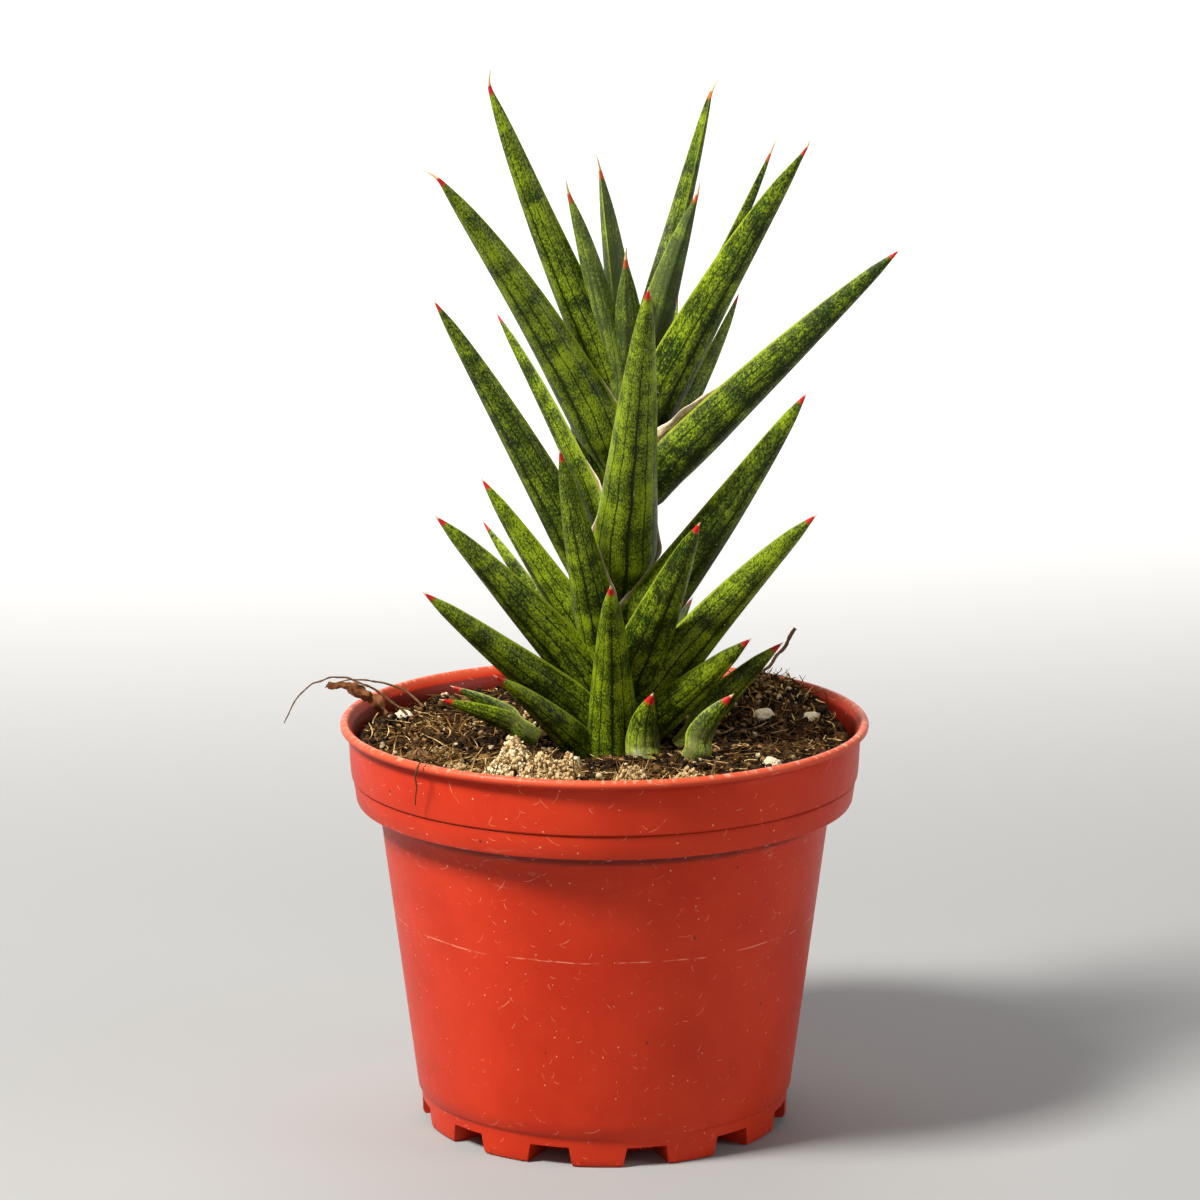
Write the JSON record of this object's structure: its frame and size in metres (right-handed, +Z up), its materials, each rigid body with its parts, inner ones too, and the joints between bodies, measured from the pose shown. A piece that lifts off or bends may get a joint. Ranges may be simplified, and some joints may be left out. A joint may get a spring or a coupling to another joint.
{
  "type": "potted snake plant",
  "caption": "Small upright snake plant with spiky channelled leaves spiralling up a short stem, in a round tapered nursery pot with a rim band, filled with potting mix.",
  "frame": {"origin": "centre of the flat base that the pot rests on, on the pot's axis", "axes": "+Z up along the pot's axis, -Y towards the front of the plant, +X to the viewer's right when seen from the front"},
  "size_m": [0.1379, 0.1198, 0.2381],
  "materials": {
    "pot_plastic": "semi-matte red-orange plastic with fine scratches",
    "potting_mix": "dry crumbly dark brown peat and bark",
    "stem": "dull green, mostly hidden by the leaves",
    "leaf": "waxy green, mottled darker, with pale edges and red tips",
    "pumice": "rough cream pumice",
    "bark": "rough brown bark",
    "dry_leaf": "dry papery brown leaf",
    "dry_root": "dry thin root",
    "twig": "dry dark twig"
  },
  "bodies": {
    "root": {"pot": "pot_plastic", "potting_mix": "potting_mix", "stem": "stem", "leaf_01": "leaf", "leaf_02": "leaf", "leaf_03": "leaf", "leaf_04": "leaf", "leaf_05": "leaf", "leaf_06": "leaf", "leaf_07": "leaf", "leaf_08": "leaf", "leaf_09": "leaf", "leaf_10": "leaf", "leaf_11": "leaf", "leaf_12": "leaf", "leaf_13": "leaf", "leaf_14": "leaf", "leaf_15": "leaf", "leaf_16": "leaf", "leaf_17": "leaf", "leaf_18": "leaf", "leaf_19": "leaf", "leaf_20": "leaf", "leaf_21": "leaf", "leaf_22": "leaf", "leaf_23": "leaf", "leaf_24": "leaf", "leaf_25": "leaf", "leaf_26": "leaf", "leaf_27": "leaf", "leaf_28": "leaf", "leaf_29": "leaf", "leaf_30": "leaf", "leaf_31": "leaf", "leaf_32": "leaf", "shoot_leaf_01": "leaf", "shoot_leaf_02": "leaf", "shoot_leaf_03": "leaf", "shoot_leaf_04": "leaf", "shoot_leaf_05": "leaf", "pumice_01": "pumice", "pumice_02": "pumice", "pumice_03": "pumice", "pumice_04": "pumice", "pumice_05": "pumice", "pumice_06": "pumice", "bark_01": "bark", "bark_02": "bark", "dry_leaf": "dry_leaf", "dry_root_01": "dry_root", "dry_root_02": "dry_root", "dry_root_03": "dry_root", "dry_root_04": "dry_root", "twig": "twig"}
  },
  "joints": []
}
